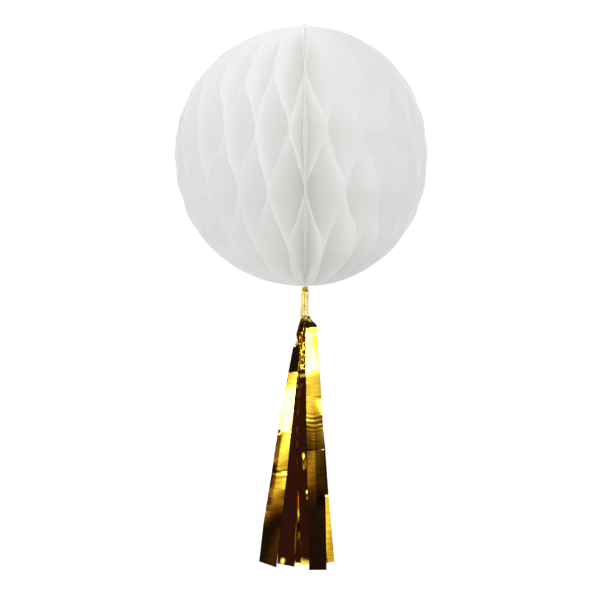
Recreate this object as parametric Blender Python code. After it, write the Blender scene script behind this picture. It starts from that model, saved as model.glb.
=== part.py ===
"""Paper honeycomb ball with a foil tassel, hung from a thread eye.

A fan of flat tissue half discs opens about a vertical spine cord until its two cover
cards meet face to face at the front seam, where two adhesive pads hold them. A ribbon
loop tied to the cord's lower end carries a tassel of foil strips.

The origin is the centre of the hanging eye. +Z is up and the seam faces -Y.
"""

import math

import bmesh
import bpy

MM = 0.001

# Ball
DISC_RADIUS = 150 * MM  # radius that every tissue half disc is cut to
CARD_RADIUS = 141 * MM  # the cards are a little smaller than the tissue
SPINE_CLEAR = 5 * MM  # radius round the spine where the sheets' straight edges stop
SHEET_COUNT = 44
SHEET_STEP_DEG = 360 / SHEET_COUNT
SHEET_WEDGE_DEG = 0.07  # a sheet's thickness, as an angle about the spine
CARD_WEDGE_DEG = 0.20
CARD_CENTRE_DEG = 0.32  # from the seam's middle plane to the middle of each card
ARC_STEPS = 24

# Spine cord and its hanging eye
CORD_RADIUS = 1.5 * MM
CORD_END_BELOW = 153.2 * MM  # below the ball's centre
EYE_RING_RADIUS = 2.4 * MM
EYE_THREAD_RADIUS = 0.5 * MM
EYE_ABOVE_CENTRE = 150.8 * MM
EYE_STEPS = 24
EYE_SIDES = 8
CORD_SIDES = 12
SHARP_EDGE_DEG = 50  # round pieces are shaded smooth up to this angle between faces
BALL_CENTRE_Z = -EYE_ABOVE_CENTRE

# Adhesive pads between the two cards
PAD_RADIUS = 6 * MM
PAD_WEDGE_DEG = 0.20
PAD_HEIGHTS = {"closure_pad_upper": 110 * MM, "closure_pad_lower": 86 * MM}
PAD_FROM_EDGE = 8.5 * MM
PAD_SIDES = 16

# Ribbon knot, a ball round the cord's lower end
GAP = 0.3 * MM
KNOT_RADIUS = 3.1 * MM
KNOT_BORE = CORD_RADIUS + GAP
KNOT_BELOW = CORD_END_BELOW + GAP  # the knot's centre, where its bore ends
KNOT_SIDES = 20
KNOT_BANDS = 9

# Ribbon loop
RIBBON_WIDTH = 3.6 * MM
RIBBON_THICKNESS = 0.4 * MM
RIBBON_GAP = 0.6 * MM  # between its two strands
RIBBON_TOP_BELOW = KNOT_BELOW + KNOT_RADIUS + GAP
RIBBON_TURN_BELOW = 185.0 * MM  # centre of the turn at its lower end
RIBBON_TURN_STEPS = 12

# Tassel
TASSEL_PIVOT_BELOW = 187.2 * MM
STRIP_WIDTH = 20 * MM
STRIP_THICKNESS = 0.3 * MM
STRIP_LAYER_STEP = 1.6 * MM  # from one strip to the next behind it, at the head
STRIP_DEPTH_STEP_DEG = 1.1  # how much more each next strip leans back
STRIP_START = 3.0 * MM  # below the tassel's pivot
# Each strip, from the front one to the back one: its lean to the right in degrees, where
# its top and bottom edges are below the pivot, and how far its foot slants.
STRIPS = {
    "foil_strip_right_front": (2.9, 10.3 * MM, 289 * MM, 0.0),
    "foil_strip_left_front": (-8.4, STRIP_START, 286 * MM, 5 * MM),
    "foil_strip_centre_front": (0.9, STRIP_START, 287 * MM, 1 * MM),
    "foil_strip_left_inner": (-3.9, STRIP_START, 287 * MM, 3 * MM),
    "foil_strip_core": (-0.9, STRIP_START, 285 * MM, 0.0),
    "foil_strip_left_back": (-1.8, STRIP_START, 287 * MM, -2 * MM),
    "foil_strip_right_outer": (5.7, STRIP_START, 285 * MM, -2 * MM),
    "foil_strip_right_inner": (3.7, STRIP_START, 282 * MM, 2 * MM),
    "foil_strip_right_back": (1.8, STRIP_START, 284 * MM, 0.0),
}


def clear_scene():
    for old in list(bpy.data.objects):
        bpy.data.objects.remove(old, do_unlink=True)


def material(name, colour, roughness, metallic=0.0):
    made = bpy.data.materials.new(name)
    made.use_nodes = True
    shader = made.node_tree.nodes["Principled BSDF"]
    shader.inputs["Base Color"].default_value = (*colour, 1)
    shader.inputs["Roughness"].default_value = roughness
    shader.inputs["Metallic"].default_value = metallic
    made.diffuse_color = (*colour, 1)
    return made


def mesh_from(name, bm):
    """Closes a bmesh's normals outward and turns it into a mesh."""
    bmesh.ops.recalc_face_normals(bm, faces=bm.faces)
    mesh = bpy.data.meshes.new(name)
    bm.to_mesh(mesh)
    bm.free()
    return mesh


def place(name, mesh, look, below_centre=0.0, turn_z=0.0):
    """Puts a mesh on the spine axis, at a height below the ball's centre."""
    obj = bpy.data.objects.new(name, mesh)
    obj.location = (0, 0, BALL_CENTRE_Z - below_centre)
    obj.rotation_euler = (0, 0, turn_z)
    bpy.context.scene.collection.objects.link(obj)
    if not mesh.materials:
        mesh.materials.append(look)
    return obj


def prism(name, outline, corner):
    """A solid from a closed outline. corner(point, side) places it on side -1 or 1."""
    bm = bmesh.new()
    sides = [[bm.verts.new(corner(p, s)) for p in outline] for s in (-1, 1)]
    for side in sides:
        bm.faces.new(side)
    for i in range(len(outline)):
        a, b = sides[0][i - 1], sides[0][i]
        c, d = sides[1][i], sides[1][i - 1]
        bm.faces.new((a, b, c, d))
    return mesh_from(name, bm)


def wedge(name, outline, angle_deg):
    """A radial leaf: (radius, height) points, between two planes through the spine."""
    half = math.radians(angle_deg) / 2
    return prism(
        name,
        outline,
        lambda p, s: (p[0] * math.sin(s * half), -p[0] * math.cos(half), p[1]),
    )


def half_disc(radius):
    """(radius, height) outline of a half disc whose straight edge clears the spine."""
    end = math.acos(SPINE_CLEAR / radius)
    angles = [end - 2 * end * i / ARC_STEPS for i in range(ARC_STEPS + 1)]
    return [(radius * math.cos(a), radius * math.sin(a)) for a in angles]


def smooth(mesh):
    mesh.shade_smooth()
    mesh.set_sharp_from_angle(angle=math.radians(SHARP_EDGE_DEG))
    return mesh


def turned(name, profile, sides):
    """A closed (radius, height) profile spun round Z. Points on the axis become poles."""
    bm = bmesh.new()
    rings = []
    for radius, height in profile:
        if radius == 0:
            rings.append([bm.verts.new((0, 0, height))])
            continue
        turns = [2 * math.pi * i / sides for i in range(sides)]
        ring = [(radius * math.cos(t), radius * math.sin(t), height) for t in turns]
        rings.append([bm.verts.new(p) for p in ring])
    for low, high in zip(rings, rings[1:]):
        for i in range(sides):
            corners = [low[i - 1], low[i]] if len(low) > 1 else [low[0]]
            corners += [high[i], high[i - 1]] if len(high) > 1 else [high[0]]
            bm.faces.new(corners)
    return smooth(mesh_from(name, bm))


def ring(name, major, minor, steps, sides):
    """A ring standing upright in the XZ plane."""
    bm = bmesh.new()
    loops = []
    for i in range(steps):
        around = 2 * math.pi * i / steps
        loop = []
        for k in range(sides):
            tube = 2 * math.pi * k / sides
            r = major + minor * math.cos(tube)
            point = (r * math.cos(around), minor * math.sin(tube), r * math.sin(around))
            loop.append(bm.verts.new(point))
        loops.append(loop)
    for i in range(steps):
        for k in range(sides):
            near, far = loops[i - 1], loops[i]
            bm.faces.new((near[k - 1], near[k], far[k], far[k - 1]))
    return smooth(mesh_from(name, bm))


def tissue_sheets(look):
    leaf = wedge("tissue_sheet", half_disc(DISC_RADIUS), SHEET_WEDGE_DEG)
    for i in range(SHEET_COUNT):
        azimuth = math.radians((i + 0.5) * SHEET_STEP_DEG)
        place(f"tissue_sheet_{i + 1:02d}", leaf, look, turn_z=azimuth)


def cover_cards(look):
    leaf = wedge("cover_card", half_disc(CARD_RADIUS), CARD_WEDGE_DEG)
    centre = math.radians(CARD_CENTRE_DEG)
    place("cover_card_right", leaf, look, turn_z=centre)
    place("cover_card_left", leaf, look, turn_z=-centre)


def closure_pads(look):
    turns = [2 * math.pi * i / PAD_SIDES for i in range(PAD_SIDES)]
    for name, height in PAD_HEIGHTS.items():
        out = math.sqrt(CARD_RADIUS**2 - height**2) - PAD_FROM_EDGE
        outline = [
            (out + PAD_RADIUS * math.cos(t), height + PAD_RADIUS * math.sin(t))
            for t in turns
        ]
        place(name, wedge(name, outline, PAD_WEDGE_DEG), look)


def spine_cord(look):
    """The cord with its hanging eye, joined into one piece."""
    top = EYE_ABOVE_CENTRE - EYE_RING_RADIUS
    profile = [
        (0, -CORD_END_BELOW),
        (CORD_RADIUS, -CORD_END_BELOW),
        (CORD_RADIUS, top),
        (0, top),
    ]
    cord = place("spine_cord", turned("spine_cord", profile, CORD_SIDES), look)
    loop = ring("eye", EYE_RING_RADIUS, EYE_THREAD_RADIUS, EYE_STEPS, EYE_SIDES)
    eye = place("hanging_eye_shape", loop, look, below_centre=-EYE_ABOVE_CENTRE)
    eye.hide_render = True
    eye.display_type = "WIRE"
    join = cord.modifiers.new("join_eye", "BOOLEAN")
    join.operation = "UNION"
    join.object = eye
    join.solver = "EXACT"


def ribbon_knot(look):
    """The ribbon's knot: a small ball, bored to its centre, round the cord's lower end."""
    mouth = math.acos(KNOT_BORE / KNOT_RADIUS)
    profile = [(0, -KNOT_RADIUS)]
    for i in range(1, KNOT_BANDS + 1):
        rise = -math.pi / 2 + (mouth + math.pi / 2) * i / KNOT_BANDS
        profile.append((KNOT_RADIUS * math.cos(rise), KNOT_RADIUS * math.sin(rise)))
    profile += [(KNOT_BORE, 0), (0, 0)]
    mesh = turned("ribbon_knot", profile, KNOT_SIDES)
    place("ribbon_knot", mesh, look, below_centre=KNOT_BELOW)


def ribbon_loop(look):
    """A flat U of ribbon: two strands that hang from the knot and turn at the foot."""
    inner = RIBBON_GAP / 2
    outer = inner + RIBBON_WIDTH
    top = KNOT_BELOW - RIBBON_TOP_BELOW
    foot = KNOT_BELOW - RIBBON_TURN_BELOW
    turns = [math.pi * i / RIBBON_TURN_STEPS for i in range(RIBBON_TURN_STEPS + 1)]
    outline = [(outer, top)]
    outline += [(outer * math.cos(t), foot - outer * math.sin(t)) for t in turns]
    outline += [(-outer, top), (-inner, top)]
    outline += [(-inner * math.cos(t), foot - inner * math.sin(t)) for t in turns]
    outline += [(inner, top)]
    half = RIBBON_THICKNESS / 2
    mesh = prism("ribbon_loop", outline, lambda p, s: (p[0], s * half, p[1]))
    place("ribbon_loop", mesh, look, below_centre=KNOT_BELOW)


def foil_strips(look):
    """Flat strips one behind the other, fanned in width and depth from the pivot."""
    middle = (len(STRIPS) - 1) / 2
    for i, (name, (lean, start, end, slant)) in enumerate(STRIPS.items()):
        half = STRIP_WIDTH / 2
        outline = [(-half, -start), (half, -start)]
        outline += [(half, -end - slant / 2), (-half, -end + slant / 2)]
        layer = (i - middle) * STRIP_LAYER_STEP
        mesh = prism(
            name,
            outline,
            lambda p, s: (p[0], layer + s * STRIP_THICKNESS / 2, p[1]),
        )
        strip = place(name, mesh, look, below_centre=TASSEL_PIVOT_BELOW)
        back = math.radians((i - middle) * STRIP_DEPTH_STEP_DEG)
        strip.rotation_euler = (back, -math.radians(lean), 0)


def build():
    clear_scene()
    tissue_sheets(material("tissue_paper", (0.86, 0.86, 0.84), 0.9))
    cover_cards(material("white_card", (0.84, 0.84, 0.82), 0.8))
    closure_pads(material("adhesive_pad", (0.92, 0.92, 0.9), 0.5))
    spine_cord(material("white_thread", (0.85, 0.84, 0.8), 0.9))
    ribbon_knot(material("ribbon_knot", (0.9, 0.78, 0.32), 0.35, 0.8))
    ribbon_loop(material("gold_ribbon", (0.9, 0.78, 0.32), 0.35, 0.8))
    foil_strips(material("gold_foil", (0.95, 0.72, 0.18), 0.12, 1.0))


build()
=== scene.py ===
import math

import bpy
import numpy as np
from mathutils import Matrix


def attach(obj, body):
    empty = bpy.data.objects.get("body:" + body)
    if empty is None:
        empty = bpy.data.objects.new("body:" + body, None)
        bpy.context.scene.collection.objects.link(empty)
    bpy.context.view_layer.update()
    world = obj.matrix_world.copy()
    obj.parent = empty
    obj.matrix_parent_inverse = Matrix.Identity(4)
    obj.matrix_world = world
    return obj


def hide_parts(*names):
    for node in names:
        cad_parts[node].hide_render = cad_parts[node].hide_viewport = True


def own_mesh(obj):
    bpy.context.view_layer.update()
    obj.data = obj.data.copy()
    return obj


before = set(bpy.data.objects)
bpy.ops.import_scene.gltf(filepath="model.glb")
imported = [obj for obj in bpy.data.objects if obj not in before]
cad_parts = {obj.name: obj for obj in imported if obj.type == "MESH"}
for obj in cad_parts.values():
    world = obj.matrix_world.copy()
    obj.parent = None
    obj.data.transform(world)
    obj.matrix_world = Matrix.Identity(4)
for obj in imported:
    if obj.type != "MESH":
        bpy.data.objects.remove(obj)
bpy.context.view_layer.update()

MM = 0.001
RANDOM = np.random.default_rng(11)

# ---------------------------------------------------------------- sizes, in metres
EYE_Z = 0.0
CENTRE_Z = -0.1508  # the ball's centre
RADIUS = 0.150
CARD_RADIUS = 0.141  # the cards are a little smaller than the tissue
CARD_THICK = 0.42 * MM
TISSUE_HALF = 0.07 * MM  # half of a sheet's thickness
GLUE_GAP = 0.13 * MM  # from a glue line's middle to the middle of a sheet glued along it
SPINE_CLEAR = 0.0052  # how far the sheets start from the spine's axis
LEAST_WIDTH = 0.3 * MM  # of a leaf at its two ends
SHEETS = 44
STEP = 360 / SHEETS  # between two neighbouring sheets, in degrees
PAD_RADIUS = 5.6 * MM
PAD_INSET = 8.5 * MM  # from the cards' rim to a pad's centre
CORD_RADIUS = 1.45 * MM
EYE_RADIUS = 2.4 * MM
KNOT_Z = -0.3043
RIBBON_TOP_Z = -0.3060
RIBBON_TURN_Z = -0.3354
RIBBON_WIDE = 4.2 * MM
RIBBON_THICK = 0.38 * MM
RIBBON_APART = 2.1 * MM  # from the ribbon's middle to each of its strands, sideways
RIBBON_STAGGER = 0.35 * MM  # the same, forward and back
PIVOT_Z = -0.3380  # where the strips hang on the ribbon's turn

# Glue lines: heights from the ball's centre. The even ones join two sheets at the even
# nodes, the odd ones at the odd nodes. The first and last lie outside the ball.
GLUE_LINES = np.array((-182.5, -114.1, -45.7, 22.6, 90.9, 176.0)) * MM
GLUE_HALF = 1.2 * MM


# ---------------------------------------------------------------- camera and light
def make_camera():
    """Level with the ribbon, with the whole object in view."""
    lens, sensor = 155.0, 36.0  # in mm
    across = 0.6948  # the width in view at the spine, in metres
    data = bpy.data.cameras.new("camera")
    data.lens = lens
    data.sensor_width = sensor
    camera = bpy.data.objects.new("camera", data)
    camera.location = (-0.0058, -across * lens / sensor, -0.3164)
    camera.rotation_euler = (math.radians(90), 0, 0)
    bpy.context.scene.collection.objects.link(camera)
    bpy.context.scene.camera = camera


def node(tree, kind, **settings):
    made = tree.nodes.new(kind)
    for key, value in settings.items():
        if key in made.inputs:
            made.inputs[key].default_value = value
        else:
            setattr(made, key, value)
    return made


def join(tree, source, target):
    tree.links.new(source, target)


def maths(tree, operation, *values):
    made = tree.nodes.new("ShaderNodeMath")
    made.operation = operation
    for i, value in enumerate(values):
        if isinstance(value, (int, float)):
            made.inputs[i].default_value = value
        else:
            tree.links.new(value, made.inputs[i])
    return made.outputs[0]


def ramp(tree, source, stops):
    made = tree.nodes.new("ShaderNodeValToRGB")
    elements = made.color_ramp.elements
    while len(elements) < len(stops):
        elements.new(0.5)
    for element, (place, colour) in zip(elements, stops):
        element.position = place
        if isinstance(colour, (int, float)):
            colour = (colour, colour, colour)
        element.color = (*colour, 1)
    tree.links.new(source, made.inputs[0])
    return made.outputs[0]


def make_world():
    """White all round for what it lights. Mirrors see a dim studio with bright bands in it."""
    world = bpy.data.worlds.new("studio")
    bpy.context.scene.world = world
    world.use_nodes = True
    tree = world.node_tree
    tree.nodes.clear()
    way = node(tree, "ShaderNodeTexCoord").outputs["Generated"]
    parts = node(tree, "ShaderNodeSeparateXYZ")
    join(tree, way, parts.inputs[0])
    rise = maths(tree, "ARCSINE", parts.outputs[2])
    rise = maths(tree, "MULTIPLY_ADD", rise, 1 / math.pi, 0.5)  # 0 straight down, 1 straight up
    back = maths(tree, "MULTIPLY", parts.outputs[1], -1.0)
    turn = maths(tree, "ARCTAN2", parts.outputs[0], back)
    turn = maths(tree, "MULTIPLY_ADD", turn, 0.5 / math.pi, 0.5)  # 0.5 is the front, 0.75 the right

    def at(degrees):
        """The place on the rise of a height above level, in degrees."""
        return 0.5 + degrees / 180

    def towards(degrees):
        """The place on the turn of a direction to the right of the front, in degrees."""
        return 0.5 + degrees / 360

    level = ramp(
        tree,
        rise,
        [
            (at(-90), (0.50, 0.36, 0.20)),
            (at(-32), (0.62, 0.45, 0.24)),
            (at(-19), (0.50, 0.36, 0.18)),
            (at(-14), (0.032, 0.010, 0.040)),
            (at(-6.5), (0.032, 0.010, 0.040)),
            (at(-4), (0.5, 0.4, 0.25)),
            (at(-2), (1.1, 1.05, 0.9)),
            (at(0.8), (1.3, 1.25, 1.1)),
            (at(2.0), (8.0, 8.0, 8.0)),
            (at(3.6), (11.0, 11.0, 11.0)),
            (at(4.4), (1.7, 1.55, 1.1)),
            (at(6.2), (0.95, 0.80, 0.55)),
            (at(8), (0.45, 0.27, 0.10)),
            (at(10.5), (0.09, 0.04, 0.02)),
            (at(14), (0.012, 0.007, 0.025)),
            (at(32), (0.02, 0.013, 0.030)),
            (at(90), (0.10, 0.09, 0.08)),
        ],
    )
    sides = ramp(
        tree,
        turn,
        [
            (towards(-180), 0.9),
            (towards(-150), 0.25),
            (towards(-120), 0.6),
            (towards(-75), 0.12),
            (towards(-50), 0.15),
            (towards(-38), 0.7),
            (towards(-18), 1.0),
            (towards(14), 1.0),
            (towards(24), 0.30),
            (towards(45), 0.08),
            (towards(80), 0.10),
            (towards(105), 0.6),
            (towards(140), 0.5),
            (towards(180), 0.9),
        ],
    )
    patches = node(tree, "ShaderNodeTexNoise", Scale=2.2, Detail=1.0, Roughness=0.4)
    join(tree, way, patches.inputs["Vector"])
    patches = ramp(tree, patches.outputs["Fac"], [(0.36, 0.85), (0.5, 1.0), (0.66, 1.2)])
    mirrored = node(tree, "ShaderNodeBackground", Strength=1.0)
    join(tree, multiply(tree, multiply(tree, level, sides), patches), mirrored.inputs["Color"])
    shade = ramp(
        tree,
        rise,
        [
            (at(-90), (0.890, 0.892, 0.865)),
            (at(-10), (0.840, 0.842, 0.827)),
            (at(20), (0.735, 0.741, 0.737)),
            (at(90), (0.640, 0.648, 0.648)),
        ],
    )
    leftish = ramp(
        tree,
        turn,
        [(0.0, 1.0), (towards(-90), 1.30), (towards(0), 1.0), (towards(90), 0.86), (1.0, 1.0)],
    )
    plain = node(tree, "ShaderNodeBackground", Strength=1.0)
    join(tree, multiply(tree, shade, leftish), plain.inputs["Color"])
    backdrop = node(tree, "ShaderNodeBackground", Color=(1, 1, 1, 1), Strength=1.02)
    which = node(tree, "ShaderNodeLightPath").outputs
    mixed = blend_shaders(tree, which["Is Glossy Ray"], plain.outputs[0], mirrored.outputs[0])
    shown = blend_shaders(tree, which["Is Camera Ray"], mixed, backdrop.outputs[0])
    out = node(tree, "ShaderNodeOutputWorld")
    join(tree, shown, out.inputs["Surface"])


def make_lights():
    """A wide soft key from the upper right and a faint one from above."""
    for name, energy, lean, round_z in (("soft_key", 0.62, 44, 54), ("soft_top", 0.05, 12, 0)):
        sun = bpy.data.lights.new(name, "SUN")
        sun.energy = energy
        sun.angle = math.radians(40)
        sun.color = (1.0, 0.995, 0.98)
        lamp = bpy.data.objects.new(name, sun)
        lamp.rotation_euler = (math.radians(lean), 0, math.radians(round_z))
        bpy.context.scene.collection.objects.link(lamp)


def make_floor():
    """A plain pale disc below the tassel. Only the camera sees it."""
    reach_m, height = 30, -0.80
    ring = [
        (reach_m * math.cos(t), reach_m * math.sin(t), height)
        for t in np.linspace(0, 2 * math.pi, 97)[:-1]
    ]
    mesh = bpy.data.meshes.new("floor")
    mesh.from_pydata(ring, [], [list(range(len(ring)))])
    floor = bpy.data.objects.new("floor", mesh)
    bpy.context.scene.collection.objects.link(floor)
    look = bpy.data.materials.new("pale_floor")
    look.use_nodes = True
    shader = look.node_tree.nodes["Principled BSDF"]
    shader.inputs["Base Color"].default_value = (0.97, 0.97, 0.97, 1)
    shader.inputs["Roughness"].default_value = 0.9
    shader.inputs["Specular IOR Level"].default_value = 0.1
    shader.inputs["Emission Color"].default_value = (1, 1, 1, 1)
    shader.inputs["Emission Strength"].default_value = 0.28
    mesh.materials.append(look)
    floor.visible_glossy = False
    floor.visible_diffuse = False
    floor.visible_transmission = False


# ---------------------------------------------------------------- materials
def start_material(name):
    """A new look, its tree, its shader, and the place on the piece that its patterns follow."""
    look = bpy.data.materials.new(name)
    look.use_nodes = True
    tree = look.node_tree
    place = node(tree, "ShaderNodeTexCoord").outputs["Object"]
    return look, tree, tree.nodes["Principled BSDF"], place


def noise(tree, place, scale, detail=3.0, stretch=None, roughness=0.5):
    made = node(tree, "ShaderNodeTexNoise", Scale=scale, Detail=detail, Roughness=roughness)
    if stretch:
        mapping = node(tree, "ShaderNodeMapping", Scale=stretch)
        join(tree, place, mapping.inputs["Vector"])
        place = mapping.outputs[0]
    join(tree, place, made.inputs["Vector"])
    return made.outputs["Fac"]


def multiply(tree, first, second):
    """One colour times another."""
    made = node(tree, "ShaderNodeMix", data_type="RGBA", blend_type="MULTIPLY")
    made.inputs[0].default_value = 1.0
    join(tree, first, made.inputs[6])
    join(tree, second, made.inputs[7])
    return made.outputs[2]


def blend_shaders(tree, share, first, second):
    """share of the second shader with the first. share is a number or a socket."""
    made = node(tree, "ShaderNodeMixShader")
    if isinstance(share, (int, float)):
        made.inputs[0].default_value = share
    else:
        join(tree, share, made.inputs[0])
    join(tree, first, made.inputs[1])
    join(tree, second, made.inputs[2])
    return made.outputs[0]


def bumps(tree, height, strength, distance, after=None):
    made = node(tree, "ShaderNodeBump", Strength=strength, Distance=distance)
    join(tree, height, made.inputs["Height"])
    if after is not None:
        join(tree, after, made.inputs["Normal"])
    return made.outputs["Normal"]


def tissue_material():
    look, tree, shader, place = start_material("white_tissue")
    cloud = noise(tree, place, 14.0, 4.0)
    fibres = noise(tree, place, 700.0, 5.0, (1.0, 1.0, 0.35), 0.6)
    tint = ramp(
        tree,
        cloud,
        [(0.30, (0.9996, 0.9996, 0.9990)), (0.70, (1.0, 1.0, 0.9997))],
    )
    flecks = ramp(tree, fibres, [(0.30, 0.9996), (0.62, 1.0)])
    colour = multiply(tree, tint, flecks)
    crinkle = noise(tree, place, 120.0, 3.0, (1.0, 1.0, 0.5))
    normal = bumps(tree, crinkle, 0.30, 0.0010)
    normal = bumps(tree, fibres, 0.25, 0.0003, normal)
    join(tree, colour, shader.inputs["Base Color"])
    join(tree, normal, shader.inputs["Normal"])
    shader.inputs["Roughness"].default_value = 0.85
    shader.inputs["Specular IOR Level"].default_value = 0.0
    through = node(tree, "ShaderNodeBsdfTranslucent")
    join(tree, colour, through.inputs["Color"])
    join(tree, normal, through.inputs["Normal"])
    thin = ramp(tree, cloud, [(0.30, 0.46), (0.70, 0.60)])
    mixed = blend_shaders(tree, thin, shader.outputs[0], through.outputs[0])
    join(tree, mixed, tree.nodes["Material Output"].inputs["Surface"])
    return look


def card_material():
    look, tree, shader, place = start_material("white_cover_card")
    cloud = noise(tree, place, 30.0, 4.0)
    grain = noise(tree, place, 1100.0, 4.0)
    tint = ramp(tree, cloud, [(0.3, (0.9994, 0.9994, 0.9984)), (0.7, (1.0, 1.0, 0.9995))])
    join(tree, tint, shader.inputs["Base Color"])
    join(tree, bumps(tree, grain, 0.2, 0.0002), shader.inputs["Normal"])
    shader.inputs["Roughness"].default_value = 0.75
    shader.inputs["Specular IOR Level"].default_value = 0.0
    through = node(tree, "ShaderNodeBsdfTranslucent")
    join(tree, tint, through.inputs["Color"])
    mixed = blend_shaders(tree, 0.72, shader.outputs[0], through.outputs[0])
    join(tree, mixed, tree.nodes["Material Output"].inputs["Surface"])
    return look


def pad_material():
    look, tree, shader, place = start_material("adhesive_pad_foam")
    cells = noise(tree, place, 1600.0, 4.0)
    tint = ramp(tree, cells, [(0.3, (0.84, 0.84, 0.82)), (0.7, (0.93, 0.93, 0.92))])
    join(tree, tint, shader.inputs["Base Color"])
    join(tree, bumps(tree, cells, 0.4, 0.0002), shader.inputs["Normal"])
    shader.inputs["Roughness"].default_value = 0.35
    return look


def thread_material():
    look, tree, shader, place = start_material("white_thread")
    cloud = noise(tree, place, 90.0, 3.0)
    hairs = noise(tree, place, 2600.0, 4.0, (1.0, 1.0, 0.25))
    tint = ramp(tree, cloud, [(0.3, (0.88, 0.87, 0.83)), (0.7, (0.94, 0.93, 0.90))])
    join(tree, tint, shader.inputs["Base Color"])
    join(tree, bumps(tree, hairs, 0.6, 0.0002), shader.inputs["Normal"])
    shader.inputs["Roughness"].default_value = 0.8
    shader.inputs["Sheen Weight"].default_value = 0.25
    return look


def gold(name, tints, metal, roughness, wrinkle, stretch):
    """Gold film or ribbon. wrinkle is how strong its creases are, stretch their direction."""
    look, tree, shader, place = start_material(name)
    cloud = noise(tree, place, 22.0, 3.0, (1.0, 1.0, 0.45))
    tint = ramp(tree, cloud, [(0.32 + 0.18 * i, c) for i, c in enumerate(tints)])
    creases = noise(tree, place, 160.0, 4.0, stretch, 0.6)
    fine = noise(tree, place, 900.0, 2.0, stretch)
    worn = ramp(tree, fine, [(0.35, roughness * 0.8), (0.75, roughness * 1.5)])
    normal = bumps(tree, creases, wrinkle, 0.0008)
    join(tree, tint, shader.inputs["Base Color"])
    join(tree, worn, shader.inputs["Roughness"])
    join(tree, bumps(tree, fine, 0.06, 0.0001, normal), shader.inputs["Normal"])
    shader.inputs["Metallic"].default_value = metal
    return look


# ---------------------------------------------------------------- meshes
def add_piece(name, points, faces, look, body, sharp, nodes):
    """A piece of the object. Edges sharper than sharp, in degrees, stay crisp."""
    mesh = bpy.data.meshes.new(name)
    mesh.from_pydata([tuple(p) for p in points], [], [tuple(f) for f in faces])
    mesh.validate()
    mesh.materials.append(look)
    piece = bpy.data.objects.new(name, mesh)
    bpy.context.scene.collection.objects.link(piece)
    mesh.shade_smooth()
    mesh.set_sharp_from_angle(angle=math.radians(sharp))
    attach(piece, body)
    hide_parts(*nodes)
    return piece


def slab(front, back):
    """A closed thin solid from two (rows, columns, 3) grids, as points and faces."""
    rows, columns = front.shape[:2]
    points = np.concatenate([front.reshape(-1, 3), back.reshape(-1, 3)])
    index = np.arange(rows * columns).reshape(rows, columns)
    a, b = index[:-1, :-1], index[:-1, 1:]
    c, d = index[1:, 1:], index[1:, :-1]
    face = np.stack([a, b, c, d], axis=-1).reshape(-1, 4)
    far = rows * columns
    faces = [face, face[:, ::-1] + far]
    border = np.concatenate(
        [index[0, :-1], index[:-1, -1], index[-1, :0:-1], index[:0:-1, 0]]
    )
    after = np.roll(border, -1)
    faces.append(np.stack([after, border, border + far, after + far], axis=-1))
    return points, np.concatenate(faces)


def tube(path, wide, thick, up, sides=10, closed=False, power=2.0):
    """A tube of flat or round section along a path.

    up is where its thick side faces, for all of it or as up(i) for each point. A power above 2
    makes the section squarer.
    """
    path = np.asarray(path, float)
    count = len(path)
    if closed:
        along = np.roll(path, -1, 0) - np.roll(path, 1, 0)
    else:
        along = np.gradient(path, axis=0)
    along /= np.linalg.norm(along, axis=1)[:, None]
    wide = np.broadcast_to(wide, count)
    thick = np.broadcast_to(thick, count)
    points = []
    for i in range(count):
        face = np.asarray(up(i) if callable(up) else up, float)
        face = face - along[i] * face.dot(along[i])
        face /= np.linalg.norm(face)
        side = np.cross(along[i], face)
        for k in range(sides):
            t = 2 * math.pi * k / sides
            c, s = math.cos(t), math.sin(t)
            c = math.copysign(abs(c) ** (2 / power), c)
            s = math.copysign(abs(s) ** (2 / power), s)
            points.append(path[i] + side * wide[i] / 2 * c + face * thick[i] / 2 * s)
    if not closed:
        return np.array(points), rings_faces(count, sides)
    faces = []
    for i in range(count):
        j = (i + 1) % count
        for k in range(sides):
            m = (k + 1) % sides
            faces.append((i * sides + k, i * sides + m, j * sides + m, j * sides + k))
    return np.array(points), faces


def rings_faces(rings, sides):
    """Faces between rings of points that follow one another, with both ends capped."""
    faces = []
    for i in range(rings - 1):
        for k in range(sides):
            m = (k + 1) % sides
            faces.append((i * sides + k, i * sides + m, (i + 1) * sides + m, (i + 1) * sides + k))
    faces.append(tuple(range(sides))[::-1])
    faces.append(tuple((rings - 1) * sides + k for k in range(sides)))
    return faces


def merge(parts):
    """Several (points, faces) as one."""
    points, faces, start = [], [], 0
    for some, more in parts:
        points.append(np.asarray(some))
        faces += [tuple(int(v) + start for v in face) for face in more]
        start += len(some)
    return np.concatenate(points), faces


# ---------------------------------------------------------------- the ball
# How far the glue lines sit from even spacing: (azimuth, shift) in degrees for each line
NODE_SHIFTS = (
    [(-110, 0), (-57, -9), (-33, -9), (0, 0), (33, 9), (57, 8), (110, 0)],
    [(-110, 0), (-57, -7), (-41, -8), (-24.5, -7), (-8.2, -1.8), (0, 0), (8.2, 3.5)]
    + [(24.5, 8.5), (41, 8), (57, 6), (110, 0)],
    [(-60, 0), (-33, 0.7), (-16, -0.2), (0, 0), (16, 1.8), (33, 3.5), (60, 2), (120, 0)],
    [(-100, 1), (-57, 3), (-41, 3.2), (-24.5, 2.4), (-8.2, 1.4), (0, 0), (8.2, 1.4)]
    + [(24.5, 0.8), (60, 0)],
    [(0, 0)],
    [(0, 0)],
)
# small chance shifts of each glue line: round the ball, in degrees, and up or down
NODE_JITTER = RANDOM.uniform(-0.55, 0.55, (len(GLUE_LINES), SHEETS + 1))
NODE_JITTER[:, 0] = 0
NODE_JITTER[:, -1] = 0
LINE_JITTER = RANDOM.uniform(-2.2, 2.2, (len(GLUE_LINES), SHEETS + 1)) * MM
LINE_JITTER[:, -1] = LINE_JITTER[:, 0]


def node_height(line, number):
    """The height of a glue line above the ball's centre."""
    return GLUE_LINES[line] + LINE_JITTER[line, number]


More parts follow.
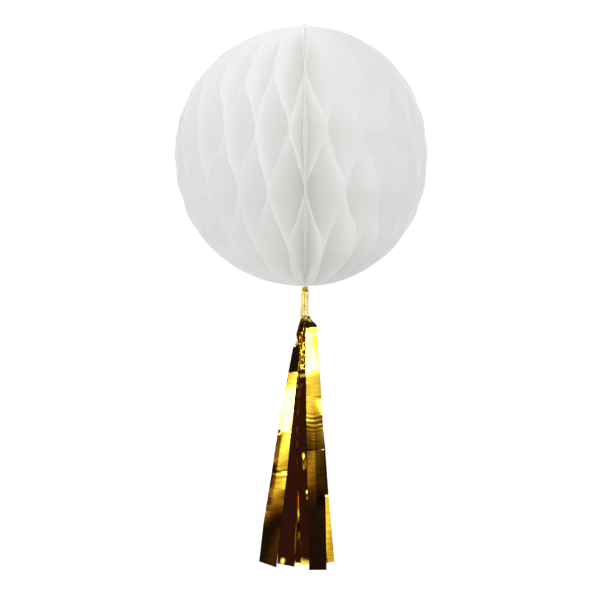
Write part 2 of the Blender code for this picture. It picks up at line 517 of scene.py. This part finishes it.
def node_azimuth(line, number):
    """Where a glue line is round the ball, in degrees from the seam."""
    even = number * STEP
    signed = even - 360 if even > 180 else even
    shifts = [(-180, 0)] + NODE_SHIFTS[line] + [(180, 0)]
    shift = np.interp(signed, [s[0] for s in shifts], [s[1] for s in shifts])
    return even + shift + NODE_JITTER[line, number]


def reach(azimuth):
    """The ball is a little squashed on its right side."""
    side = max(0.0, math.sin(math.radians(azimuth)))
    return 1 - 0.06 * side**1.3


def rim_at(height, radius, power):
    """How far a leaf reaches from the spine at a height. A power of 2 makes a circle."""
    return radius * math.sqrt(max(1 - abs(height / radius) ** power, 1e-4))


def card_face(radius):
    """Distance from the seam's middle plane to the outer face of a cover card."""
    return min(0.44 * MM + 0.0026 * radius, 0.011 * radius)


def gape(radius, height):
    """How far each cover card bows away from the other at a place below their pads."""
    out = (radius / RADIUS) ** 2
    lower = math.exp(-(((height + 84 * MM) / (16 * MM)) ** 2))
    upper = math.exp(-(((height - 20 * MM) / (30 * MM)) ** 2))
    return out * (2.2 * MM * lower + 1.6 * MM * upper)


def sheet_lines(number):
    """(height, azimuth, which node) for each glue line that this sheet passes."""
    lines = []
    for line in range(len(GLUE_LINES)):
        end = number - 1 if (line - number + 1) % 2 == 0 else number
        lines.append((node_height(line, end), node_azimuth(line, end), end))
    return lines


def sheet_heights(lines):
    """The rows of a sheet's points: close together at its ends, and on its glue lines."""
    rows = RADIUS * np.sin(np.radians(np.linspace(-87.4, 87.4, 67)))
    extra = [z + side * GLUE_HALF for z, _, _ in lines[1:-1] for side in (-1, 0, 1)]
    keep = [z for z in rows if min(abs(z - e) for e in extra) > 1.0 * MM]
    return np.array(sorted(keep + extra))


def swing(height, lines):
    """(line below, share of the way from it to the next line), flat on the glue lines."""
    line = sum(height > z for z, _, _ in lines) - 1
    line = min(max(line, 0), len(lines) - 2)
    low = lines[line][0] + GLUE_HALF
    high = lines[line + 1][0] - GLUE_HALF
    t = min(max((height - low) / (high - low), 0.0), 1.0)
    soft = t * t * (3 - 2 * t)
    return line, 0.42 * t + 0.58 * soft


def tissue_sheet(number, look):
    """One half disc of tissue, zigzagging between the glue lines of its two neighbours.

    lean is 1 on a glue line with the sheet before and -1 on one with the sheet after. loose is
    how free the paper is to crumple there: nothing on a glue line and most midway.
    """
    lines = sheet_lines(number)
    heights = sheet_heights(lines)
    across = np.linspace(0, 1, 21) ** 0.72
    lower, upper = number - 1, number
    middle = (number - 0.5) * STEP
    waves = [
        (
            RANDOM.uniform(0.10, 0.32) * MM,
            RANDOM.uniform(60, 260) * RANDOM.choice((-1, 1)),
            RANDOM.uniform(60, 300),
            RANDOM.uniform(0, 2 * math.pi),
        )
        for _ in range(7)
    ]
    curl = RANDOM.uniform(-1.0, 1.0, len(GLUE_LINES)) * MM
    trim = 1 + RANDOM.uniform(-0.010, 0.004)
    ripple = RANDOM.uniform(0, 2 * math.pi, 3)
    front = np.zeros((len(heights), len(across), 3))
    back = np.zeros_like(front)
    for i, z in enumerate(heights):
        line, share = swing(z, lines)
        below, above = lines[line], lines[line + 1]
        azimuth = below[1] + (above[1] - below[1]) * share
        leans = [1.0 if part[2] == lower else -1.0 for part in (below, above)]
        lean = leans[0] + (leans[1] - leans[0]) * share
        rim = rim_at(z, RADIUS, 2.1)
        rim *= reach(azimuth) * trim
        rim += 0.8 * MM * math.sin(z / (6 * MM) + ripple[0])
        rim = max(rim, SPINE_CLEAR + LEAST_WIDTH)
        loose = math.sin(math.pi * share) ** 0.7 if 0 < share < 1 else 0.0
        a = math.radians(azimuth)
        for k, u in enumerate(across):
            r = SPINE_CLEAR + (rim - SPINE_CLEAR) * u
            off = lean * GLUE_GAP
            if (lower == 0 and lean > 0) or (upper == SHEETS and lean < 0):
                # glued to a cover card, on the card's outer face
                face = card_face(r) + 0.1 * MM + gape(r, z)
                off += math.copysign(abs(lean) * face, lean)
            crumple = sum(
                size * math.sin(kr * r + kz * z + start) for size, kr, kz, start in waves
            )
            flutter = 0.7 * MM * u**6 * math.sin(z / (6.5 * MM) + ripple[1])
            bow = curl[line] * 1.8 * u**3
            off += loose * (r / RADIUS) * (crumple + bow) + loose * flutter
            centre = np.array((r * math.sin(a), -r * math.cos(a), CENTRE_Z + z))
            side = np.array((math.cos(a), math.sin(a), 0.0))
            front[i, k] = centre + side * (off + TISSUE_HALF)
            back[i, k] = centre + side * (off - TISSUE_HALF)
    name = f"tissue_{number:02d}"
    points, faces = slab(front, back)
    source = f"tissue_sheet_{number:02d}"
    body = f"sheet_{number:02d}"
    piece = add_piece(name, points, faces, look, body, 50, (source,))
    a = math.radians(middle)
    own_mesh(piece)
    return piece


def cover_card(side, look):
    """A curved half disc of card. side is 1 for the right one, -1 for the left one."""
    heights = CARD_RADIUS * np.sin(np.radians(np.linspace(-87.2, 87.2, 75)))
    across = np.linspace(0, 1, 19)
    front = np.zeros((len(heights), len(across), 3))
    back = np.zeros_like(front)
    for i, z in enumerate(heights):
        rim = max(rim_at(z, CARD_RADIUS, 2.04), SPINE_CLEAR + LEAST_WIDTH)
        for k, u in enumerate(across):
            r = SPINE_CLEAR + (rim - SPINE_CLEAR) * u
            out = card_face(r) + gape(r, z)
            inner = out - min(CARD_THICK, 0.9 * card_face(r))
            front[i, k] = (side * out, -r, CENTRE_Z + z)
            back[i, k] = (side * inner, -r, CENTRE_Z + z)
    if side < 0:
        front, back = back, front
    points, faces = slab(front, back)
    name = "cover_card_right" if side > 0 else "cover_card_left"
    body = "ball_core" if side > 0 else "cover_left"
    piece = add_piece(f"card_{name[11:]}", points, faces, look, body, 40, (name,))
    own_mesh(piece)
    return piece


def closure_pad(name, height, look):
    """A foam dot with bevelled rims between the two cards, close to their edge."""
    out = math.sqrt(CARD_RADIUS**2 - height**2) - PAD_INSET
    half = card_face(out) - CARD_THICK
    # its outline from the middle of one face to the middle of the other, as shares of its
    # radius and of half its depth
    radii = [0.0, 0.55, 0.9, 0.98, 1.0, 1.0, 0.98, 0.9, 0.55, 0.0]
    deep = [1.0, 1.0, 1.0, 0.94, 0.75, -0.75, -0.94, -1.0, -1.0, -1.0]
    sides = 28
    points = []
    for radius, x in zip(radii, deep):
        for k in range(sides):
            t = 2 * math.pi * k / sides
            wob = 1 + 0.015 * math.sin(3 * t + height * 300)
            r = max(radius, 0.02) * PAD_RADIUS * wob
            points.append(
                (x * half, -(out + r * math.cos(t)), CENTRE_Z + height + r * math.sin(t))
            )
    faces = rings_faces(len(radii), sides)
    add_piece(f"dot_{name[12:]}", points, faces, look, "ball_core", 50, (name,))


def strand(path, radius, plies, pitch, sides=8):
    """Thread of several plies twisted round a path, as tubes."""
    path = np.asarray(path, float)
    along = np.gradient(path, axis=0)
    length = np.concatenate([[0], np.cumsum(np.linalg.norm(np.diff(path, axis=0), axis=1))])
    along /= np.linalg.norm(along, axis=1)[:, None]
    aside = np.array([(0.0, 1.0, 0.0) if abs(a[1]) < 0.9 else (1.0, 0.0, 0.0) for a in along])
    across = np.cross(along, aside)
    across /= np.linalg.norm(across, axis=1)[:, None]
    third = np.cross(along, across)
    parts = []
    for ply in range(plies):
        turn = 2 * math.pi * (length / pitch + ply / plies)
        round_it = across * np.cos(turn)[:, None] + third * np.sin(turn)[:, None]
        core = path + round_it * radius * 0.5
        parts.append(tube(core, radius * 1.12, radius * 1.12, lambda i: round_it[i], sides))
    return parts


def spine_cord(look):
    """A cord of three plies with an eye of two above it, bound by three turns of thread."""
    top = EYE_Z - EYE_RADIUS
    count = 420
    z = np.linspace(CENTRE_Z - 0.1531, top, count)
    path = np.stack([np.zeros(count), np.zeros(count), z], axis=1)
    parts = strand(path, CORD_RADIUS, 3, 9 * MM)
    turns = np.linspace(-math.pi / 2, 1.5 * math.pi, 90)
    eye = np.stack(
        [
            EYE_RADIUS * np.cos(turns),
            0.25 * MM * np.sin(turns * 2),
            EYE_Z + EYE_RADIUS * np.sin(turns),
        ],
        axis=1,
    )
    parts += strand(eye, 0.5 * MM, 2, 2.6 * MM, 6)
    wraps = []
    for level in (0.2, 1.25, 2.3):
        t = np.linspace(0, 2 * math.pi, 33)[:-1]
        ring = np.stack(
            [
                CORD_RADIUS * np.cos(t),
                CORD_RADIUS * np.sin(t),
                top - level * MM + 0.15 * MM * np.sin(t),
            ],
            axis=1,
        )
        wraps.append(tube(ring, 1.0 * MM, 0.9 * MM, (0, 0, 1), 8, closed=True))
    points, faces = merge(parts + wraps)
    add_piece("twisted_spine_cord", points, faces, look, "ball_core", 60, ("spine_cord",))


# ---------------------------------------------------------------- the ribbon
def ribbon_knot(look):
    """Flat ribbon wound round itself in three turns."""
    parts = []
    t = np.linspace(0, 2 * math.pi, 41)[:-1]
    for tilt, spin, size, lift in ((8, 0, 3.0, 1.6), (-12, 70, 3.2, 0.0), (16, 150, 3.0, -1.6)):
        a, b = math.radians(tilt), math.radians(spin)
        ring = np.stack([size * np.cos(t), size * np.sin(t), 0.12 * np.sin(3 * t)], axis=1)
        ring[:, 2] += ring[:, 0] * math.sin(a)
        spun = ring.copy()
        spun[:, 0] = ring[:, 0] * math.cos(b) - ring[:, 1] * math.sin(b)
        spun[:, 1] = ring[:, 0] * math.sin(b) + ring[:, 1] * math.cos(b)
        spun[:, 2] += lift
        ring = spun * MM + np.array((0, 0, KNOT_Z))
        outward = ring - (0, 0, KNOT_Z)
        parts.append(
            tube(ring, 2.1 * MM, 0.9 * MM, lambda i: outward[i], sides=12, closed=True, power=3.0)
        )
    core = []
    rows, sides = 9, 18
    for i in range(rows):
        rise = -math.pi / 2 + math.pi * (i + 0.5) / rows
        for k in range(sides):
            turn = 2 * math.pi * k / sides
            r = 2.3 * MM * math.cos(rise)
            core.append((r * math.cos(turn), r * math.sin(turn), KNOT_Z + 2.7 * MM * math.sin(rise)))
    parts.append((core, rings_faces(rows, sides)))
    points, faces = merge(parts)
    add_piece("tied_ribbon_knot", points, faces, look, "knot", 45, ("ribbon_knot",))


def ribbon_loop(look):
    """Two flat strands side by side that turn at the foot, where the strips hang."""
    left, right = [], []
    for t in np.linspace(0, 1, 34):
        z = RIBBON_TOP_Z + (RIBBON_TURN_Z - RIBBON_TOP_Z) * t
        sway = (0.25 * math.sin(5 * t) - 0.9 * math.sin(2.4 * t)) * MM
        close = 1 - 0.12 * math.sin(math.pi * t) ** 2
        left.append((-RIBBON_APART * close + sway, -RIBBON_STAGGER, z))
        right.append((RIBBON_APART * close + sway * 0.6, RIBBON_STAGGER, z))
    bend = []
    for a in np.linspace(0, math.pi, 19)[1:-1]:
        x, y = -RIBBON_APART * math.cos(a), -RIBBON_STAGGER * math.cos(a)
        bend.append((x, y, RIBBON_TURN_Z - RIBBON_APART * math.sin(a)))
    path = np.array(left + bend + right[::-1])
    count = len(path)
    twist = np.interp(np.arange(count), [0, 30, 55, count], [-0.10, -0.10, 0.04, 0.04])
    flat = [(twist[i] + 0.05 * math.sin(i * 0.11), -1.0, 0.0) for i in range(count)]
    points, faces = tube(
        path, RIBBON_WIDE, RIBBON_THICK, lambda i: flat[i], sides=12, power=3.2
    )
    add_piece("gold_ribbon_loop", points, faces, look, "ribbon", 45, ("ribbon_loop",))


# ---------------------------------------------------------------- the tassel
# layer: how far behind the pivot a strip's head is, in mm.
# path: (mm below the pivot, mm to the right, visible width in mm, forward tilt in degrees,
#     turn about its length in degrees), from its head to its foot.
# foot: how far its cut end slopes across its width, in mm.
# bow: how much it bows across its width, in degrees. tuck: the side that is folded away.
# vee: where a lengthwise fold runs across it, from -1 to 1, and (mm below the pivot, degrees)
#     that the film beyond the fold leans back.
# gather: how far down its pleats reach, in mm. folds: how many pleats there are.
# creases: (middle, reach, pitch, size) of bands of small cross bends, in mm.
# bulges: (start, stop, place across it, reach across it, size) of single soft bends, in mm.
STRIPS = {
    "right_front": {
        "layer": -6.4,
        "path": [
            (1.0, 3.6, 5.0, 16, 0),
            (6.0, 5.4, 9.5, 17, 0),
            (10.1, 7.4, 13.0, 17, 0),
            (10.3, 7.4, 13.0, 0.6, 0),
            (16.0, 7.5, 13.2, 0.65, 0),
            (18.0, 7.6, 13.4, 1.6, 0),
            (38.0, 8.1, 14.6, 1.85, 0),
            (52.0, 8.6, 15.6, 2.1, 0),
            (62.0, 9.0, 16.2, 2.5, 0),
            (68.0, 9.3, 16.5, 3.6, 0),
            (78.0, 9.7, 17.0, 3.9, 0),
            (90.0, 10.0, 17.6, 4.2, 0),
            (104.0, 10.4, 18.2, 4.7, 1),
            (121.0, 11.0, 19.0, 5.4, 2),
            (141.0, 11.7, 19.8, 6.3, 1),
            (151.0, 12.1, 20.2, 7.4, 0.6),
            (152.4, 12.2, 20.2, 6.4, 0),
            (193.0, 13.2, 20.4, 7.2, 0),
            (201.0, 13.4, 20.4, 8.4, 0),
            (232.0, 14.0, 20.2, 10.2, 0),
            (287.5, 14.6, 20.0, 11.4, 2),
        ],
        "foot": 0.0,
        "vee": (-0.1, [(20, 0), (58, 7), (93, 6), (112, 11), (150, 13), (205, 13), (238, 0)]),
        "gather": 5,
        "folds": 2.5,
        "creases": [(120, 9, 5.2, 0.05), (134, 6, 3.6, 0.035)],
    },
    "left_front": {
        "layer": -4.8,
        "path": [
            (1.0, -2.2, 5.4, 18, 0),
            (11.0, -4.6, 7.4, 14, 0),
            (15.0, -5.2, 7.6, 10, 8),
            (24.0, -7.6, 8.0, 9, -6),
            (33.0, -9.3, 8.4, 8, 0),
            (37.0, -10.2, 8.8, 9, 0),
            (61.0, -13.9, 10.6, 9, 0),
            (62.0, -14.0, 10.6, 3.6, 0),
            (77.0, -16.2, 11.5, 3.5, 0),
            (85.0, -17.5, 12.1, 2.4, 0),
            (130.0, -23.7, 15.0, 2.75, 0),
            (131.5, -23.9, 15.1, 4.85, 0),
            (160.0, -27.6, 16.8, 5.2, 0),
            (175.2, -29.4, 17.4, 5.7, 0.4),
            (177.8, -29.7, 17.6, 5.4, -0.6),
            (196.0, -32.3, 18.2, 5.7, -1),
            (206.0, -33.6, 18.8, 6.5, 0),
            (222.0, -35.8, 19.6, 7.6, 0),
            (238.0, -37.9, 20.4, 9.2, 2),
            (281.5, -42.0, 21.4, 9.8, 3),
        ],
        "foot": 5.0,
        "vee": (-0.35, [(129, 0), (134, -13), (168, -15), (178, -9), (215, 0)]),
        "gather": 34,
        "folds": 3.5,
        "creases": [(19, 9, 6.5, 0.20), (178, 6, 7.0, 0.03)],
        "bulges": [(25, 33, -0.6, 0.35, 0.6)],
    },
    "centre_front": {
        "layer": -3.2,
        "path": [
            (2.0, -0.6, 6.5, 13, 0),
            (11.0, -1.4, 7.0, 12, 0),
            (13.0, -1.5, 7.2, 10, 16),
            (27.0, -2.4, 8.5, 9, 20),
            (31.0, -2.2, 8.5, 1.5, 4),
            (42.0, -1.8, 9.0, 0.5, -16),
            (58.0, -2.4, 9.0, -0.5, 12),
            (64.0, -2.6, 9.0, -3.4, 8),
            (110.0, -3.4, 10.0, -2.6, 6),
            (160.0, -2.2, 12.0, -2.4, 4),
            (210.0, -0.8, 13.0, -2.2, 4),
            (274.0, 1.8, 14.0, -1.8, 4),
            (287.0, 2.6, 14.0, 4.4, 3),
        ],
        "foot": 1.0,
        "bow": 3,
        "gather": 56,
        "folds": 3.5,
        "creases": [(50, 14, 11.0, 0.30)],
        "bulges": [(154, 178, 0.45, 0.16, 0.9), (198, 212, 0.7, 0.16, 0.5)],
    },
    "left_inner": {
        "layer": -1.6,
        "path": [
            (2.0, -1.5, 7.0, 1, -10),
            (40.0, -5.2, 9.0, 0, -14),
            (60.0, -6.4, 10.0, -3.6, -6),
            (100.0, -9.0, 13.0, -3.0, -4),
            (180.0, -14.4, 17.0, -2.6, -5),
            (240.0, -19.5, 19.8, -2.4, -5),
            (287.0, -22.3, 20.0, -2.2, -5),
        ],
        "foot": 3.0,
        "bow": 3,
        "tuck": "right",
        "gather": 46,
        "folds": 2.0,
        "creases": [(60, 20, 13.0, 0.2)],
        "bulges": [(277, 301, -0.35, 0.35, 0.95)],
    },
    "core": {
        "layer": 0.8,
        "path": [
            (-2.6, -0.2, 9.0, -6, 0),
            (30.0, -0.7, 10.0, -4.4, 0),
            (60.0, -1.0, 12.0, -3.6, 0),
            (150.0, -2.6, 15.0, -3.2, 0),
            (285.0, -4.6, 17.0, -2.6, 0),
        ],
        "foot": 0.0,
        "bow": 8,
        "gather": 6,
        "folds": 2.0,
        "bulges": [(215, 262, -0.15, 0.10, 1.3)],
    },
    "left_back": {
        "layer": 2.2,
        "path": [
            (-2.4, -1.0, 9.6, -6, 0),
            (60.0, -3.0, 12.8, -4.0, 0),
            (180.0, -6.2, 17.0, -3.4, 0),
            (278.0, -8.8, 18.5, -3.2, 0),
            (287.0, -9.0, 18.5, 3.8, 0),
        ],
        "foot": -2.0,
        "bow": 6,
        "gather": 6,
        "folds": 2.0,
    },
    "right_outer": {
        "layer": 3.6,
        "path": [
            (-1.8, 1.4, 10.0, -6, 0),
            (90.0, 9.0, 15.0, -4.2, 0),
            (150.0, 15.0, 17.0, -4.2, 0),
            (205.0, 18.2, 18.4, -3.6, 0),
            (207.5, 18.4, 18.4, 5.3, 0),
            (285.0, 24.6, 19.6, 6.2, 0),
        ],
        "foot": -2.0,
        "bow": 4,
        "gather": 6,
        "folds": 2.0,
    },
    "right_inner": {
        "layer": 5.0,
        "path": [
            (-1.2, 1.0, 10.4, -6, 0),
            (60.0, 4.6, 14.0, -4.6, 0),
            (200.0, 13.0, 19.0, -4.4, 0),
            (282.0, 17.4, 19.6, -3.8, 0),
        ],
        "foot": 2.0,
        "bow": 14,
        "gather": 6,
        "folds": 2.0,
    },
    "right_back": {
        "layer": 6.4,
        "path": [
            (-0.6, 0.2, 10.4, -6, 0),
            (60.0, 2.2, 14.0, -8.0, 0),
            (120.0, 4.0, 17.0, -9.0, -16),
            (200.0, 6.4, 19.0, -8.0, -40),
            (284.0, 8.9, 19.8, -6.0, -58),
        ],
        "foot": 0.0,
        "bow": 16,
        "gather": 6,
        "folds": 2.0,
    },
}
# in mm
STRIP_WIDTH = 20.0
FILM_HALF = 0.05
FILM_STEP = 1.6  # between the rows of points down a strip


def pleat_depth(seen, folds):
    """How deep the pleats are when a strip is gathered to the width that is seen."""
    v = np.linspace(-1, 1, 201)
    low, high = 0.0, 14.0
    for _ in range(24):
        depth = (low + high) / 2
        wave = depth * np.cos(math.pi * folds * v)
        length = np.hypot(np.diff(v * seen / 2), np.diff(wave)).sum()
        low, high = (depth, high) if length < STRIP_WIDTH else (low, depth)
    return low


def pleated(share, seen, folds, start):
    """Across and lift, in mm, of a strip gathered into pleats. share runs from -1 to 1."""
    depth = pleat_depth(seen, folds) if seen < STRIP_WIDTH else 0.0
    return share * seen / 2, depth * np.cos(math.pi * folds * share + start)


def tucked(share, seen, bow):
    """Across and lift, in mm, of a bowed strip whose spare left edge is folded behind it."""
    spare = max(STRIP_WIDTH - seen, 0.0)
    run = (share + 1) / 2 * STRIP_WIDTH
    shown = min(1.0, 0.96 * seen / max(spare, MM))
    across = np.where(run < spare, (spare - run) * shown, run - spare) - seen / 2
    lift = -0.9 * np.clip((spare - run) / 2.0, 0, 1)
    lift = lift - math.tan(math.radians(bow)) * seen / 4 * (2 * across / seen) ** 2
    return across, lift


def crumple(plan, s, v, starts):
    """Small bends in the film, in mm: soft ones all over, bands of creases and single bulges."""
    soft = 0.10 * math.sin(s / 21 + v * 1.6 + starts[4])
    soft += 0.04 * math.sin(s / 9.5 + v * 2.3 + starts[5])
    for middle, reach_mm, pitch, size in plan.get("creases", ()):
        near = math.exp(-(((s - middle) / reach_mm) ** 2))
        wave = math.sin(2 * math.pi * (s + 1.2 * math.sin(2.2 * v + starts[2])) / pitch)
        soft += near * size * wave
    for start, stop, place, reach_share, size in plan.get("bulges", ()):
        if start < s < stop:
            near = math.exp(-(((v - place) / reach_share) ** 2))
            soft += near * size * math.sin(math.pi * (s - start) / (stop - start)) ** 2
    return soft


def foil_strip(name, look):
    """A film strip that hangs from the ribbon's turn, gathered into pleats at its head."""
    plan = STRIPS[name]
    keys = np.array(plan["path"], float)
    top, end = keys[0, 0], keys[-1, 0]
    down = np.unique(np.concatenate([np.arange(top, end, FILM_STEP), keys[:, 0], [end]]))
    right, seen, tilt, turn = (np.interp(down, keys[:, 0], keys[:, n]) for n in range(1, 5))
    depth = np.zeros(len(down))
    for i in range(1, len(down)):
        slope = math.tan(math.radians((tilt[i] + tilt[i - 1]) / 2))
        depth[i] = depth[i - 1] - slope * (down[i] - down[i - 1])
    share = np.linspace(-1, 1, 31)
    starts = RANDOM.uniform(0, 2 * math.pi, 6)
    front = np.zeros((len(down), len(share), 3))
    back = np.zeros_like(front)
    middle = np.stack([right, plan["layer"] + depth, -down], axis=1)
    along = np.gradient(middle, axis=0)
    along /= np.linalg.norm(along, axis=1)[:, None]
    for i, s in enumerate(down):
        yaw = math.radians(turn[i])
        side = np.array((1.0, 0.0, 0.0)) - along[i] * along[i][0]
        side /= np.linalg.norm(side)
        out = np.cross(along[i], side)
        out = out if out[1] < 0 else -out
        across = side * math.cos(yaw) + out * math.sin(yaw)
        face = out * math.cos(yaw) - side * math.sin(yaw)
        wide, lift = tucked(share, seen[i], plan.get("bow", 2))
        if plan.get("tuck") == "right":
            wide, lift = -wide[::-1], lift[::-1]
        fold_at, angles = plan.get("vee", (0.0, [(0, 0)]))
        angle = np.interp(s, [a[0] for a in angles], [a[1] for a in angles])
        beyond = wide - fold_at * seen[i] / 2
        beyond = np.maximum(beyond, 0) if angle > 0 else np.minimum(beyond, 0)
        lift = lift - np.abs(beyond) * math.tan(math.radians(abs(angle)))
        gathered = min(max((plan["gather"] - s) / 14.0, 0.0), 1.0)
        if gathered > 0:
            pleat_wide, pleat_lift = pleated(share, seen[i], plan["folds"], starts[1])
            wide = wide + (pleat_wide - wide) * gathered
            lift = lift + (pleat_lift - lift) * gathered
        cut = plan["foot"] * share / 2 * max(0.0, (s - end + 40) / 40)
        for k, v in enumerate(share):
            bend = crumple(plan, s, v, starts) * min(max(s / 30, 0.0), 1.0)
            place = middle[i] + across * wide[k] + face * (lift[k] + bend)
            place = place - np.array((0, 0, cut[k]))
            front[i, k] = place + face * FILM_HALF
            back[i, k] = place - face * FILM_HALF
    move = np.array((0.0, 0.0, PIVOT_Z))
    points, faces = slab(front * MM + move, back * MM + move)
    body = "tassel" if name == "core" else f"strip_{name}"
    source = f"foil_strip_{name}"
    piece = add_piece(f"film_{name}", points, faces, look, body, 35, (source,))
    return piece


# ---------------------------------------------------------------- build
make_camera()
make_world()
make_lights()
make_floor()
bpy.context.scene.view_settings.view_transform = "Standard"
bpy.context.scene.view_settings.look = "None"
# light goes through many sheets of tissue before it comes out of the ball again
for kind in ("max_bounces", "diffuse_bounces", "transmission_bounces"):
    setattr(bpy.context.scene.cycles, kind, 240)

tissue = tissue_material()
for n in range(1, SHEETS + 1):
    tissue_sheet(n, tissue)
card = card_material()
cover_card(1, card)
cover_card(-1, card)
pads = pad_material()
closure_pad("closure_pad_upper", 0.110, pads)
closure_pad("closure_pad_lower", 0.086, pads)
spine_cord(thread_material())
ribbon = gold(
    "pale_gold_ribbon",
    tints=[(0.73, 0.66, 0.14), (0.81, 0.65, 0.17), (0.82, 0.60, 0.17)],
    metal=0.66,
    roughness=0.28,
    wrinkle=0.02,
    stretch=(1.0, 1.0, 0.2),
)
ribbon_knot(ribbon)
ribbon_loop(ribbon)
foil = gold(
    "mirror_gold_film",
    tints=[(0.98, 0.84, 0.10), (1.0, 0.78, 0.09), (0.98, 0.66, 0.07)],
    metal=1.0,
    roughness=0.032,
    wrinkle=0.04,
    stretch=(0.6, 0.6, 1.4),
)
for strip in STRIPS:
    foil_strip(strip, foil)

bpy.context.view_layer.update()
